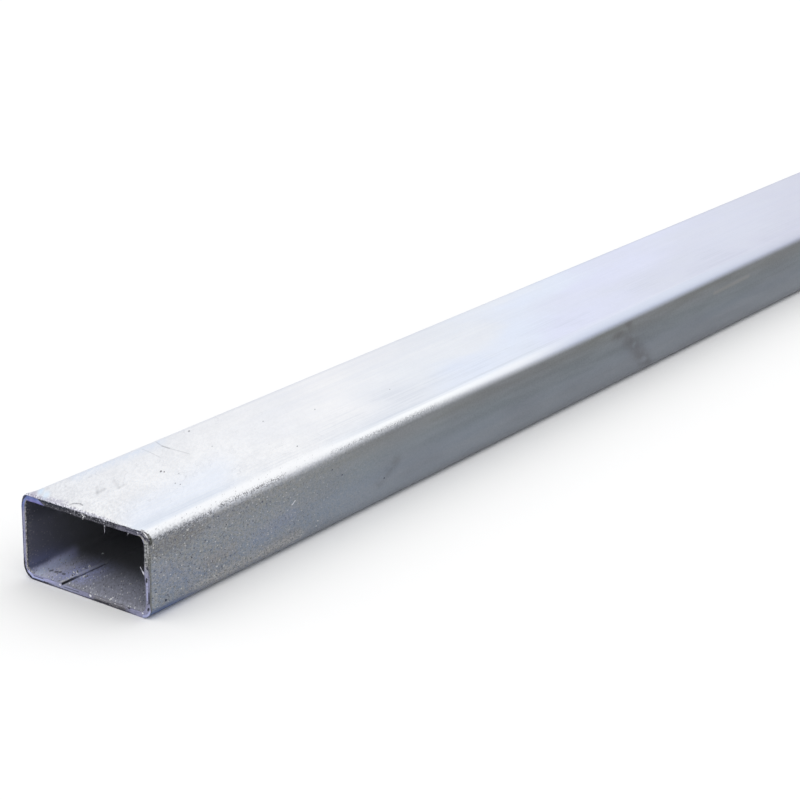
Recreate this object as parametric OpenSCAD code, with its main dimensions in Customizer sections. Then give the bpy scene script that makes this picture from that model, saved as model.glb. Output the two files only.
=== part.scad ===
// Rectangular steel tube, cold rolled from strip and closed by one straight weld
//
// The tube lies on its wide face along Y, the way it is stored on a floor.
// Origin: middle of the underside, halfway along the length. X across, Z up.

/* [Section] */
// Width over the two narrow sides
tube_w = 50; // [40:1:100]
// Height over the two wide faces
tube_h = 25; // [20:1:60]
// Thickness of the steel all round
wall = 1.6; // [1:0.1:3]
// Inner radius of the four rolled corners
bend_r = 2.4; // [0.5:0.1:5]

/* [Length] */
// Length between the two saw cuts
tube_l = 1000; // [300:10:6000]

/* [Weld seam] */
// Distance of the weld groove from the left-hand side of the tube
seam_from_side = 15.4; // [11:0.1:29]
// Width of the groove that the closed edges leave inside the tube
groove_w = 0.7; // [0.4:0.1:1.2]
// Width of the bead beside the groove, hidden half of the groove included
bead_w = 1.8; // [1:0.1:2.5]
// Height of the bead over the inner face
bead_h = 0.35; // [0.2:0.05:0.6]

/* [Hidden] */

// Fineness of every arc
$fn = 96;

// The corner arcs of both skins share one centre
corner_r = bend_r + wall;

// Groove measured from the middle of the section
seam_x = seam_from_side - tube_w / 2;

// Radius of the arc that rises bead_h over a chord of bead_w
bead_r = (bead_w * bead_w / 4 + bead_h * bead_h) / (2 * bead_h);

// Rectangle with rounded corners, standing on the X axis and centred on it
module rounded_rectangle(w, h, r) {
    translate([-w / 2 + r, 0])
        square([w - 2 * r, h]);
    translate([-w / 2, r])
        square([w, h - 2 * r]);
    for (x = [-w / 2 + r, w / 2 - r])
        for (y = [r, h - r])
            translate([x, y])
                circle(r = r);
}

// Wall of the rolled strip: the outer skin less the bore
module rolled_wall() {
    difference() {
        rounded_rectangle(tube_w, tube_h, corner_r);
        translate([0, wall])
            rounded_rectangle(tube_w - 2 * wall, tube_h - 2 * wall, bend_r);
    }
}

// Low crowned bead to the left of the groove, rooted halfway down the lower wall
module weld_bead() {
    intersection() {
        translate([seam_x - bead_w / 2, wall + bead_h - bead_r])
            circle(r = bead_r);
        translate([seam_x - bead_w, wall / 2])
            square([bead_w, wall / 2 + bead_h]);
    }
}

// Half-round groove along the bead's right-hand toe
module weld_groove() {
    translate([seam_x, wall])
        circle(d = groove_w);
}

// Section of the finished tube
module tube_section() {
    difference() {
        union() {
            rolled_wall();
            weld_bead();
        }
        weld_groove();
    }
}

// The tube: its section run along Y between two square saw cuts
module tube() {
    color([0.78, 0.80, 0.84])
        translate([0, tube_l / 2, 0])
            rotate([90, 0, 0])
                linear_extrude(height = tube_l)
                    tube_section();
}

tube();
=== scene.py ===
import math
import random

import bpy
from mathutils import Euler, Matrix, Vector, noise


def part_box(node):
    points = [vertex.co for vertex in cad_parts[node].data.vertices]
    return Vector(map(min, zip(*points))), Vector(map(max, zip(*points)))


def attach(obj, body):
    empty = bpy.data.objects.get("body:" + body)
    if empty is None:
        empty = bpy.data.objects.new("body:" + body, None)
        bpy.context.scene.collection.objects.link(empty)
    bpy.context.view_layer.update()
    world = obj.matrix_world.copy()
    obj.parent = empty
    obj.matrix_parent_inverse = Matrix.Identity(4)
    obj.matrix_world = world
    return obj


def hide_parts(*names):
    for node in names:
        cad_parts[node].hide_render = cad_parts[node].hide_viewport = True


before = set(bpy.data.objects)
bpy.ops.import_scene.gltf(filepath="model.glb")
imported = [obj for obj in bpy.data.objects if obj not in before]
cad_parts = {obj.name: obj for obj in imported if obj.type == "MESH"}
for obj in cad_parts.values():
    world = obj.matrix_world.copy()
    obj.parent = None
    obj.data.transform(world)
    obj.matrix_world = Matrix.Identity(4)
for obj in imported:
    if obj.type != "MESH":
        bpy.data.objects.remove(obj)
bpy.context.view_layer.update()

# Every length below is in millimetres, and MM turns it into the scene's metres
MM = 0.001

# The tube, as the frame gives it
LOW, HIGH = (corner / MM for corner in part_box("tube"))
WIDTH = HIGH.x - LOW.x
HEIGHT = HIGH.z - LOW.z
MOUTH_Y = LOW.y
BACK_Y = HIGH.y
WALL = 1.6
BEND = 2.4
CORNER = BEND + WALL
FLAT_HALF = WIDTH / 2 - CORNER
SIDE_HALF = HEIGHT / 2 - CORNER

# Weld seam on the floor of the bore
SEAM_X = LOW.x + 15.4
GROOVE = 0.7
BEAD = 1.8
BEAD_RISE = 0.35

# Zinc has nearly filled the groove beyond the first few millimetres of each end
GROOVE_CLEAR = 5.0
GROOVE_FADE = 6.0
GROOVE_FILL = 0.85

# The saw cuts slant a little, and just reach the ends of the stock
CUT_LEAN_X = math.tan(math.radians(-1.66))
CUT_LEAN_Z = math.tan(math.radians(2.85))
CUT_BACK = abs(CUT_LEAN_X) * WIDTH / 2 + abs(CUT_LEAN_Z) * HEIGHT / 2

# Steps of the mesh round the section
FLAT_STEP = 0.8
SEAM_STEP = 0.12
BEND_STEPS = 10
FINE = 4

# The steps over the weld seam go on past it by a margin, and keep clear of the steps beside them
SEAM_MARGIN = 0.3
SEAM_CLEARANCE = 0.1

# Steps of the mesh along the tube; the bore is torn bare over its first ones behind a cut
END_ZONE = 9.0
END_OFFSETS = (0.0, 0.12, 0.28, 0.5, 0.8, 1.2, 1.8, 2.8, 4.4, 6.4)
TORN_STEPS = 2
CUT_STEPS = 5
NEAR_LENGTH = 110.0
NEAR_RINGS = 26
MIDDLE_RINGS = 40

# Hollow of the flat faces, and the long waves that rolling leaves
DISH_WIDE = 0.06
DISH_NARROW = 0.04
WAVE_DEPTH = 0.02
WAVE_SIZE = 30.0

# How far the saw has pressed the outer rim in on each wall, and how far behind the cut that reaches
ROLL_TOP = 0.48
ROLL_RIGHT = 0.55
ROLL_LEFT = 0.02
ROLL_LOW = 0.03
ROLL_REACH = 0.8

# How far a smooth swelling stands into the bore, more so high on the right-hand wall
SWELL_TOP = 0.30
SWELL_RIGHT = 0.45
SWELL_HIGH = 0.30
SWELL_REACH = 0.7

# How far torn teeth stand into the bore
TEETH_TOP = 0.34
TEETH_RIGHT = 0.36
TEETH_LEFT = 0.50
TEETH_LOW = 0.10
TEETH_PITCH = 0.62
TEETH_REACH = 0.4

# The photograph's camera
CAMERA_PLACE = Vector((407.1, MOUTH_Y - 387.05, 248.1))
CAMERA_TURN = 37.55
CAMERA_DIP = 19.14
CAMERA_ROLL = 1.18
FOCAL_PIXELS = 2227.5
FRAME_PIXELS = 800
SENSOR_WIDTH = 36.0

# Levels of the light: all round, added towards overhead, and added high behind the tube
LIGHT_ROUND = 0.70
LIGHT_OVERHEAD = 0.34
LIGHT_BEHIND = 0.12

# The floor, in metres
FLOOR_REACH = 40.0
FLOOR_COLOUR = (0.985, 0.985, 0.98, 1.0)

# Axes in which a mark on the upper face or the right-hand side looks round to that camera
SHORTENING = 0.35
AWAY = Vector((-math.sin(math.radians(CAMERA_TURN)), math.cos(math.radians(CAMERA_TURN)), 0)) * SHORTENING
ACROSS = Vector((math.cos(math.radians(CAMERA_TURN)), math.sin(math.radians(CAMERA_TURN)), 0))

# Kinds of surface on the tube, in the order of its materials
SKIN, BORE, CUT, CRUMB = range(4)

# Numbers of the Mix node's colour sockets, whose names it gives to others too
MIX_FIRST = 6
MIX_SECOND = 7
MIX_RESULT = 2


class Signal:
    """A number socket; arithmetic on it adds Math nodes to its finish."""

    def __init__(self, finish, socket):
        self.finish = finish
        self.socket = socket

    def maths(self, operation, *others):
        values = dict(enumerate((self, *others)))
        return self.finish.node("ShaderNodeMath", {"operation": operation}, values).number("Value")

    def __add__(self, other):
        return self.maths("ADD", other)

    def __sub__(self, other):
        return self.maths("SUBTRACT", other)

    def __mul__(self, other):
        return self.maths("MULTIPLY", other)

    def __rsub__(self, other):
        return self.maths("MULTIPLY_ADD", -1.0, other)

    def __abs__(self):
        return self.maths("ABSOLUTE")

    __radd__ = __add__
    __rmul__ = __mul__

    def between(self, low, high):
        """0 at low, 1 at high, with a smooth rise; low may be the higher number."""
        settings = {"interpolation_type": "SMOOTHSTEP"}
        values = {"Value": self, "From Min": low, "From Max": high}
        return self.finish.node("ShaderNodeMapRange", settings, values).number("Result")


class Step:
    """A node just added, whose outputs are asked for by name."""

    def __init__(self, finish, node):
        self.finish = finish
        self.node = node

    def number(self, name):
        return Signal(self.finish, self.node.outputs[name])

    def out(self, name):
        return self.node.outputs[name]


class Finish:
    """A node tree under construction, with the colour of its surface so far."""

    def __init__(self, tree):
        self.tree = tree
        self.colour = None
        tree.nodes.clear()

    def node(self, kind, settings, values):
        """Adds a node: its settings first, then the values or links of its sockets."""
        made = self.tree.nodes.new(kind)
        for name, setting in settings.items():
            setattr(made, name, setting)
        for key, value in values.items():
            socket = made.inputs[key]
            if isinstance(value, Signal):
                value = value.socket
            if isinstance(value, bpy.types.NodeSocket):
                self.tree.links.new(value, socket)
            else:
                socket.default_value = value
        return Step(self, made)

    def vector_maths(self, operation, *vectors):
        return self.node("ShaderNodeVectorMath", {"operation": operation}, dict(enumerate(vectors)))

    def place(self):
        """Position on the tube, in millimetres."""
        metres = self.node("ShaderNodeTexCoord", {}, {}).out("Object")
        return self.stretched(metres, (1 / MM,) * 3)

    def axes(self, vector):
        split = self.node("ShaderNodeSeparateXYZ", {}, {"Vector": vector})
        return [split.number(axis) for axis in "XYZ"]

    def stretched(self, vector, factors):
        return self.vector_maths("MULTIPLY", vector, factors).out("Vector")

    def moved(self, vector, shift):
        return self.vector_maths("ADD", vector, shift).out("Vector")

    def seen(self, place):
        """The place in axes where distances along the camera's line of sight are shortened."""
        across = self.vector_maths("DOT_PRODUCT", place, ACROSS).number("Value")
        away = self.vector_maths("DOT_PRODUCT", place, AWAY).number("Value")
        values = {"X": across, "Y": away, "Z": self.axes(place)[2]}
        return self.node("ShaderNodeCombineXYZ", {}, values).out("Vector")

    def cloud(self, vector, scale, detail=3.0, roughness=0.5):
        """Noise from 0 to 1 whose lumps measure about 1 / scale."""
        values = {"Vector": vector, "Scale": scale, "Detail": detail, "Roughness": roughness}
        return self.node("ShaderNodeTexNoise", {}, values).number("Fac")

    def specks(self, vector, spacing, radius, share):
        """Round dots, one in each cell of that spacing, in that share of the cells."""
        cells = self.node("ShaderNodeTexVoronoi", {}, {"Vector": vector, "Scale": 1 / spacing})
        chosen = self.axes(cells.out("Color"))[0].maths("GREATER_THAN", 1 - share)
        return cells.number("Distance").between(radius / spacing, 0.4 * radius / spacing) * chosen

    def hairlines(self, vector, scale, width):
        """Thin curved lines, where a cloud passes through its middle value."""
        return abs(self.cloud(vector, scale, 2.0) - 0.5).between(width, 0.0)

    def scratch(self, place, start, end, width):
        """A straight line of that width on the surface, from start to end."""
        run = Vector(end) - Vector(start)
        offset = self.moved(place, -Vector(start))
        share = self.vector_maths("DOT_PRODUCT", offset, run / run.length_squared).number("Value")
        share = share.maths("MAXIMUM", 0.0).maths("MINIMUM", 1.0)
        spread = self.node("ShaderNodeCombineXYZ", {}, {axis: share for axis in "XYZ"}).out("Vector")
        foot = self.stretched(spread, run)
        return self.vector_maths("DISTANCE", offset, foot).number("Value").between(width, 0.0)

    def spot(self, place, centre, radius, softness=0.6):
        """A round mark on the surface."""
        gap = self.vector_maths("DISTANCE", place, centre).number("Value")
        return gap.between(radius, radius * (1 - softness))

    def wall_depth(self, x, z):
        """Depth below the outer skin, for points inside the wall."""
        across = (abs(x) - FLAT_HALF).maths("MAXIMUM", 0.0)
        upward = (abs(z - HEIGHT / 2) - SIDE_HALF).maths("MAXIMUM", 0.0)
        return CORNER - (across * across + upward * upward).maths("SQRT")

    def tinted(self, amount, first, second):
        """Colour that goes from first to second as amount goes from 0 to 1."""
        values = {"Factor": amount, MIX_FIRST: first, MIX_SECOND: second}
        return self.node("ShaderNodeMix", {"data_type": "RGBA"}, values).out(MIX_RESULT)

    def paint(self, amount, shade):
        """Lays a shade over the colour so far, by that amount."""
        self.colour = self.tinted(amount, self.colour, shade)

    def shaded(self, amount, shades):
        """Colour that follows a table of (start, end, colour) as the amount grows."""
        colour = shades[0][2]
        for start, end, shade in shades[1:]:
            colour = self.tinted(amount.between(start, end), colour, shade)
        return colour

    def bump(self, height, depth):
        """Normal of a relief whose height signal of 1 stands for depth."""
        return self.node("ShaderNodeBump", {}, {"Height": height, "Distance": depth * MM}).out("Normal")

    def surface(self, values):
        """Ends a material in one Principled shader of the colour so far."""
        shader = self.node("ShaderNodeBsdfPrincipled", {}, {"Base Color": self.colour, **values})
        self.node("ShaderNodeOutputMaterial", {}, {"Surface": shader.out("BSDF")})


def new_material(name):
    """A new material and its finish."""
    material = bpy.data.materials.new(name)
    material.use_nodes = True
    return material, Finish(material.node_tree)


def rgb(red, green, blue):
    """An opaque colour."""
    return (red, green, blue, 1.0)


def from_cut(x, z, end_gap):
    """Distance behind the saw cut, given the distance from the nearer end of the stock."""
    return end_gap - CUT_BACK - x * CUT_LEAN_X - (z - HEIGHT / 2) * CUT_LEAN_Z


def as_seen(x, y, z):
    """A place given by its distance behind the mouth, in the axes of Finish.seen."""
    point = Vector((x, MOUTH_Y + y, z))
    return Vector((point.dot(ACROSS), point.dot(AWAY), z))


# Short dark marks on the bore's floor: start and end as (x, distance behind the mouth)
FLOOR_MARKS = (
    ((-19.1, 5.8), (-18.7, 6.6)),
    ((-17.3, 6.1), (-16.8, 6.6)),
    ((-16.2, 6.6), (-15.9, 7.0)),
    ((-14.6, 6.3), (-14.0, 6.6)),
)

# Shades along the upper face, darker and bluer farther back as painted shade: each is reached between two
# distances behind the mouth
TOP_SHADES = (
    (0, 0, rgb(0.930, 0.925, 0.918)),
    (100, 168, rgb(0.822, 0.843, 0.872)),
    (168, 212, rgb(0.775, 0.825, 0.920)),
    (215, 265, rgb(0.745, 0.768, 0.900)),
    (270, 335, rgb(0.700, 0.720, 0.815)),
    (340, 420, rgb(0.655, 0.665, 0.765)),
)

# Shades down the narrow sides, whose dark grey is painted shade, lighter and bluer low down: each is
# reached between two heights
SIDE_SHADES = (
    (21.0, 21.0, rgb(0.205, 0.216, 0.216)),
    (21.0, 14.0, rgb(0.207, 0.238, 0.268)),
    (14.0, 8.0, rgb(0.214, 0.265, 0.335)),
    (8.0, 3.5, rgb(0.240, 0.290, 0.365)),
)

# Shades of the painted highlight along the bend between the upper face and the right-hand side, darker
# farther back
BEND_HIGHLIGHT_SHADES = (
    (0, 0, rgb(0.84, 0.85, 0.87)),
    (70, 115, rgb(0.90, 0.915, 0.925)),
    (130, 170, rgb(0.83, 0.845, 0.87)),
    (170, 215, rgb(0.620, 0.665, 0.765)),
    (260, 400, rgb(0.570, 0.585, 0.675)),
)

# Dark specks on the upper face: (x, distance behind the mouth, radius as seen, darkness)
TOP_SPECKS = (
    (-3.7, 36.3, 0.40, 0.85),
    (-2.7, 36.6, 0.30, 0.80),
    (1.6, 38.0, 0.22, 0.45),
    (6.0, 31.7, 0.26, 0.55),
    (7.7, 31.9, 0.26, 0.55),
    (-19.5, 65.4, 0.40, 0.60),
    (-5.3, 59.7, 0.24, 0.50),
    (-7.0, 84.4, 0.28, 0.50),
    (15.2, 73.6, 0.28, 0.65),
    (-1.0, 101.5, 0.26, 0.65),
    (-23.2, 166.5, 0.60, 0.55),
    (6.5, 129.0, 0.26, 0.50),
)

# Scratches and scuffs on the upper face, and a painted shadow under a curled burr: start and end as (x,
# distance behind the mouth), width, darkness
TOP_SCRATCHES = (
    ((-22.0, 53.4), (-17.5, 51.6), 0.22, 0.30),
    ((-17.5, 51.6), (-14.5, 51.4), 0.26, 0.55),
    ((-14.5, 51.4), (-6.5, 51.3), 0.20, 0.30),
    ((-20.5, 46.4), (-16.8, 45.8), 0.18, 0.18),
    ((-16.8, 45.8), (-11.6, 44.4), 0.18, 0.22),
    ((-10.0, 17.0), (-7.0, 14.4), 0.70, 0.20),
    ((-7.0, 14.4), (-7.2, 17.2), 0.70, 0.22),
    ((-9.4, 23.4), (-4.6, 20.4), 0.80, 0.14),
    ((-4.6, 20.4), (-4.9, 23.4), 0.60, 0.14),
    # The last four rows are the painted shadow: a dark outline under a burr curled over the upper face next
    # to the cut
    ((-7.0, 3.7), (-6.7, 4.6), 0.26, 0.60),
    ((-6.7, 4.6), (-6.1, 5.3), 0.26, 0.70),
    ((-6.1, 5.3), (-4.9, 5.7), 0.26, 0.70),
    ((-4.9, 5.7), (-3.6, 5.3), 0.26, 0.75),
)

# Dark specks on the right-hand side: (distance behind the mouth, z, radius as seen)
SIDE_SPECKS = (
    (5.8, 4.0, 0.48),
    (16.6, 12.5, 0.30),
    (19.3, 8.4, 0.26),
    (26.0, 21.4, 0.26),
    (31.0, 17.2, 0.24),
    (46.2, 18.9, 0.28),
    (77.3, 18.6, 0.28),
    (81.7, 15.6, 0.30),
    (101.5, 8.3, 0.34),
)

# Pale specks on the right-hand side: (distance behind the mouth, z, radius as seen)
SIDE_CHIPS = (
    (26.4, 6.4, 0.30),
    (25.2, 4.2, 0.26),
    (24.0, 3.8, 0.22),
    (12.0, 5.2, 0.24),
    (29.3, 5.8, 0.20),
    (70.0, 5.2, 0.26),
    (69.2, 3.8, 0.26),
)

# Dark smudges on the right-hand side: start and end as (distance behind the mouth, z), width, strength
SIDE_SMUDGES = (
    ((232.0, 18.0), (240.0, 20.5), 3.0, 0.42),
    ((240.0, 15.0), (252.0, 3.0), 4.6, 0.42),
    ((99.0, 7.6), (108.0, 12.0), 2.6, 0.24),
)

# Broad tints of the right-hand side: start and end as (distance behind the mouth, z), width as seen, colour
BROWN = rgb(0.262, 0.245, 0.222)
BLUE = rgb(0.190, 0.245, 0.375)
DUSK = rgb(0.082, 0.082, 0.074)
SIDE_TINTS = (
    ((14.0, 3.6), (60.0, 4.4), 3.4, BROWN),
    ((24.0, 8.8), (33.0, 9.4), 3.4, BROWN),
    ((3.0, 12.0), (16.0, 6.0), 6.0, BLUE),
    ((44.0, 9.0), (58.0, 11.0), 4.0, BLUE),
    ((2.0, 20.6), (20.0, 19.6), 2.2, BROWN),
    ((-1.0, 19.8), (17.0, 20.8), 5.6, DUSK),
)

# Shades of the marks on and around the saw cut
BLACK = rgb(0.02, 0.02, 0.03)
SLATE = rgb(0.030, 0.036, 0.052)
OLIVE = rgb(0.06, 0.06, 0.05)
BEIGE = rgb(0.46, 0.44, 0.40)
WHITE = rgb(0.95, 0.95, 0.96)
LILAC = rgb(0.52, 0.55, 0.80)
GLARE = rgb(0.56, 0.61, 0.92)

# Marks on the upper right bend at the mouth: start and end as (distance behind the cut, x - z),
# width, strength, shade
CORNER_MARKS = (
    ((0.05, -3.2), (0.10, -1.6), 0.40, 1.00, WHITE),
    ((0.15, -1.2), (0.30, 0.2), 0.40, 1.00, WHITE),
    ((0.20, -2.6), (0.75, -0.4), 0.22, 0.90, BLACK),
    ((0.75, -0.4), (0.85, 1.6), 0.60, 0.95, OLIVE),
    ((0.85, 1.6), (0.65, 2.8), 0.75, 0.95, OLIVE),
    ((0.65, 2.8), (0.10, 3.9), 0.65, 0.90, OLIVE),
    ((0.25, 1.4), (0.25, 2.6), 0.35, 0.80, BLACK),
)

# Rows of dark grains on the upper right bend: start and end as (x, distance behind the mouth, z),
# width, strength, shade
SAND_ROWS = (
    ((24.2, 78.0, 23.4), (24.4, 128.0, 23.2), 0.8, 0.45, rgb(0.10, 0.10, 0.12)),
    ((24.3, 30.0, 23.2), (24.3, 56.0, 23.2), 1.1, 0.75, rgb(0.08, 0.08, 0.09)),
    ((24.7, 3.5, 22.4), (24.6, 26.0, 22.6), 1.0, 0.70, rgb(0.07, 0.07, 0.07)),
)

# Stains on the upper face behind the cut's left corner: (x, distance behind the mouth, radius, shade)
TOP_STAINS = (
    (-20.6, 6.0, 1.5, rgb(0.64, 0.80, 0.97)),
    (-17.4, 5.0, 1.6, rgb(0.68, 0.82, 0.95)),
    (-20.8, 3.4, 1.7, rgb(0.36, 0.33, 0.44)),
)


def top_line(finish, seen, start, end, width):
    """A line on the upper face, between two places given as (x, distance behind the mouth)."""
    return finish.scratch(seen, as_seen(*start, HEIGHT), as_seen(*end, HEIGHT), width)


def side_line(finish, seen, start, end, width):
    """A line on the right-hand side, between two places given as (distance behind the mouth, z)."""
    return finish.scratch(seen, as_seen(HIGH.x, *start), as_seen(HIGH.x, *end), width)


def floor_line(finish, seen, start, end, width):
    """A line on the bore's floor, between two places given as (x, distance behind the mouth)."""
    return finish.scratch(seen, as_seen(*start, WALL), as_seen(*end, WALL), width)


def top_colour(finish, place, seen, x, run, near):
    """Upper and lower faces: powdery white zinc, turned darker and lavender farther back by painted shade,
    with scuffs and hairlines.
    """
    flat_place = finish.stretched(place, (1.0, 0.45, 1.0))
    patches = finish.cloud(flat_place, 0.055).between(0.38, 0.66)
    blotches = finish.cloud(seen, 0.30, 4.0, 0.6).between(0.40, 0.64)
    frost = finish.cloud(seen, 1.5, 3.0, 0.7).between(0.36, 0.66)
    drawn = finish.cloud(finish.stretched(place, (2.2, 0.02, 2.2)), 1.0, 2.0).between(0.38, 0.66)
    rolled = finish.cloud(finish.stretched(place, (0.5, 0.008, 0.5)), 1.0, 2.0).between(0.36, 0.64)
    wander = finish.cloud(flat_place, 0.03, 4.0) - 0.5
    distance = run + x * 1.8 + wander * 160.0
    # Painted shade: darker and bluer farther from the mouth
    finish.colour = finish.shaded(distance, TOP_SHADES)
    finish.paint(patches * (run.between(20, 90) * 0.20 + 0.08), rgb(0.73, 0.755, 0.81))
    flecks = finish.cloud(seen, 2.8, 2.0, 0.6).between(0.44, 0.62)
    finish.paint(flecks * near * 0.20, rgb(0.66, 0.76, 0.88))
    leftward = x.between(2.0, -20.0) * run.between(205, 150)
    finish.paint(leftward * 0.30, rgb(0.74, 0.755, 0.79))
    far = run.between(50, 120)
    finish.paint(rolled * far * 0.07, rgb(0.56, 0.62, 0.76))
    finish.paint(blotches * (near * 0.14 + 0.03), rgb(0.58, 0.585, 0.61))
    scoured = run.between(24, 4)
    finish.paint(frost * (near * 0.16 + scoured * 0.15 + 0.04), rgb(0.48, 0.49, 0.52))
    lined = finish.cloud(flat_place, 0.09).between(0.45, 0.6) * x.between(0.0, 12.0)
    finish.paint(drawn * (lined * 0.16 + far * 0.015 + 0.03), rgb(0.46, 0.50, 0.58))
    scuffs = finish.hairlines(seen, 0.30, 0.014) * finish.cloud(seen, 0.16).between(0.48, 0.60)
    finish.paint(scuffs * near * 0.34, rgb(0.36, 0.36, 0.39))
    cold = top_line(finish, seen, (17.0, 7.0), (13.0, 40.0), 10.0)
    finish.paint(cold * (drawn * 0.3 + 0.7) * 0.7, rgb(0.80, 0.85, 0.94))
    # Painted shade: darker strips on the upper face beside the bend's painted highlight, one near the mouth
    # and one farther back
    shade_beside_highlight = run.between(80, 8) * x.between(15.5, 19.0) * x.between(22.8, 22.0)
    finish.paint(shade_beside_highlight * (drawn * 0.3 + 0.4), rgb(0.66, 0.71, 0.79))
    line = run.between(60, 110) * run.between(270, 215) * x.between(20.4, 21.6) * x.between(23.6, 22.8)
    finish.paint(line * (drawn * 0.3 + 0.3), rgb(0.60, 0.64, 0.71))
    cold = top_line(finish, seen, (-22.0, 22.0), (-21.5, 54.0), 3.6)
    finish.paint(cold * (frost * 0.4 + 0.3), rgb(0.70, 0.77, 0.88))
    # Painted shade: the left-hand bend of the upper face is darker
    finish.paint(x.between(-20.8, -23.6) * 0.6, rgb(0.68, 0.71, 0.78))
    for start, end, width, darkness in TOP_SCRATCHES:
        line = top_line(finish, seen, start, end, width)
        finish.paint(line * darkness, rgb(0.16, 0.16, 0.18))
    for x0, y0, radius, darkness in TOP_SPECKS:
        mark = finish.spot(seen, as_seen(x0, y0, HEIGHT), radius)
        finish.paint(mark * darkness, rgb(0.06, 0.06, 0.08))
    return finish.colour


def side_colour(finish, place, seen, z, run, near):
    """Narrow sides: dark grey as painted shade, bluish low down, and peppered near the cut."""
    grain = finish.cloud(seen, 2.2, 3.0, 0.65).between(0.34, 0.66)
    tints = finish.cloud(seen, 1.25, 4.0, 0.6).between(0.38, 0.62)
    long_place = finish.stretched(place, (1.0, 0.03, 0.35))
    streaks = finish.cloud(long_place, 1.0, 3.0).between(0.36, 0.66)
    clouds = finish.cloud(finish.stretched(place, (1.0, 0.25, 1.0)), 0.12).between(0.38, 0.66)
    # Painted shade: the side's dark grey, lighter and bluer low down
    finish.colour = finish.shaded(z, SIDE_SHADES)
    # Painted shade: the side darker farther from the mouth
    finish.paint(run.between(80, 200) * 0.32, rgb(0.05, 0.055, 0.05))
    for start, end, width, shade in SIDE_TINTS:
        tint = side_line(finish, seen, start, end, width)
        finish.paint(tint * (clouds * 0.4 + 0.5), shade)
    faded = run.between(40, 110) * z.between(14.0, 6.0)
    finish.paint(faded * 0.55, rgb(0.250, 0.257, 0.270))
    ochre = finish.tinted(tints, rgb(0.145, 0.185, 0.270), rgb(0.320, 0.300, 0.250))
    finish.paint(near * (0.50 - z.between(12.0, 18.0) * 0.12), ochre)
    finish.paint(streaks * 0.25, rgb(0.27, 0.29, 0.32))
    finish.paint(clouds * 0.22, rgb(0.15, 0.155, 0.18))
    finish.paint(grain * (near * 0.28 + 0.09), rgb(0.47, 0.47, 0.49))
    pits = finish.cloud(finish.moved(seen, (3.0, 8.0, 1.0)), 3.0, 2.0, 0.6).between(0.56, 0.66)
    finish.paint(pits * (near * 0.62 + 0.05), rgb(0.072, 0.075, 0.082))
    pepper = finish.specks(seen, 1.2, 0.30, 0.30)
    finish.paint(pepper * near * 0.72, rgb(0.050, 0.060, 0.12))
    salt = finish.specks(finish.moved(seen, (7.0, 3.0, 5.0)), 0.9, 0.24, 0.4)
    finish.paint(salt * (near * 0.60), rgb(0.72, 0.71, 0.70))
    for y0, z0, radius in SIDE_SPECKS:
        mark = finish.spot(seen, as_seen(HIGH.x, y0, z0), radius)
        finish.paint(mark * 0.85, rgb(0.015, 0.02, 0.055))
    for y0, z0, radius in SIDE_CHIPS:
        mark = finish.spot(seen, as_seen(HIGH.x, y0, z0), radius)
        finish.paint(mark * 0.6, rgb(0.80, 0.80, 0.78))
    light = side_line(finish, seen, (59.0, 13.8), (60.3, 14.6), 0.24)
    finish.paint(light * 0.8, rgb(0.80, 0.80, 0.85))
    mottle = finish.cloud(seen, 0.35, 3.0, 0.5).between(0.30, 0.58)
    for start, end, width, strength in SIDE_SMUDGES:
        smudge = side_line(finish, seen, start, end, width)
        finish.paint(smudge * mottle * strength, rgb(0.085, 0.075, 0.078))
    pale = side_line(finish, seen, (299.0, 17.1), (324.0, 17.5), 1.2)
    finish.paint(pale * 0.3, rgb(0.33, 0.31, 0.28))
    worn = side_line(finish, seen, (18.0, 3.6), (62.0, 3.6), 2.2)
    finish.paint(worn * grain * 0.55, rgb(0.52, 0.51, 0.50))
    finish.paint(worn * pits * 0.50, rgb(0.10, 0.09, 0.08))
    foot = z.between(3.6, 1.4) * run.between(26.0, 6.0)
    finish.paint(foot * 0.9, rgb(0.10, 0.16, 0.33))
    return finish.colour


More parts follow.
